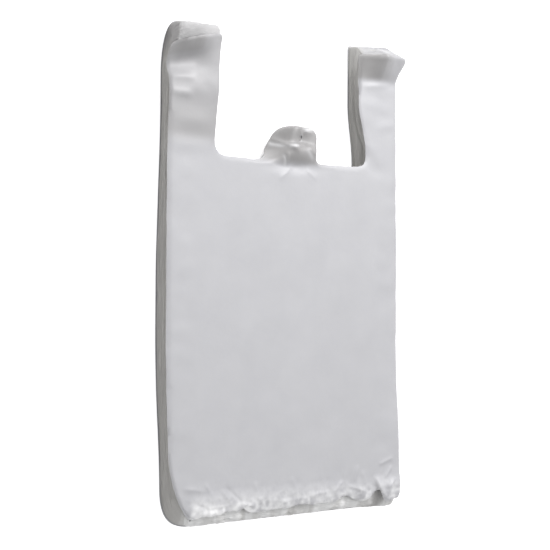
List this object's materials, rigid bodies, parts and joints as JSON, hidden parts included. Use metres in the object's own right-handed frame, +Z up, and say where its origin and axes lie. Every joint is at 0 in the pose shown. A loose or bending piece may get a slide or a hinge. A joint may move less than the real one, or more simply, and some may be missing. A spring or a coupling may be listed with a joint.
{
  "type": "plastic carrier bag block",
  "caption": "Flat block of white vest carrier bags, lying on its back, with folded-in sides, two handles, a deep cut-out and a pinned tab between them.",
  "frame": {"origin": "on the floor under the middle of the pack's box", "axes": "+Y from the base seals towards the handles, +Z up through the pack from the back bag to the front bag, +X to the front bag's right"},
  "size_m": [0.25, 0.45, 0.0381],
  "materials": {
    "film": "satin white thin film"
  },
  "bodies": {
    "root": {"bag_block": "film"}
  },
  "joints": []
}
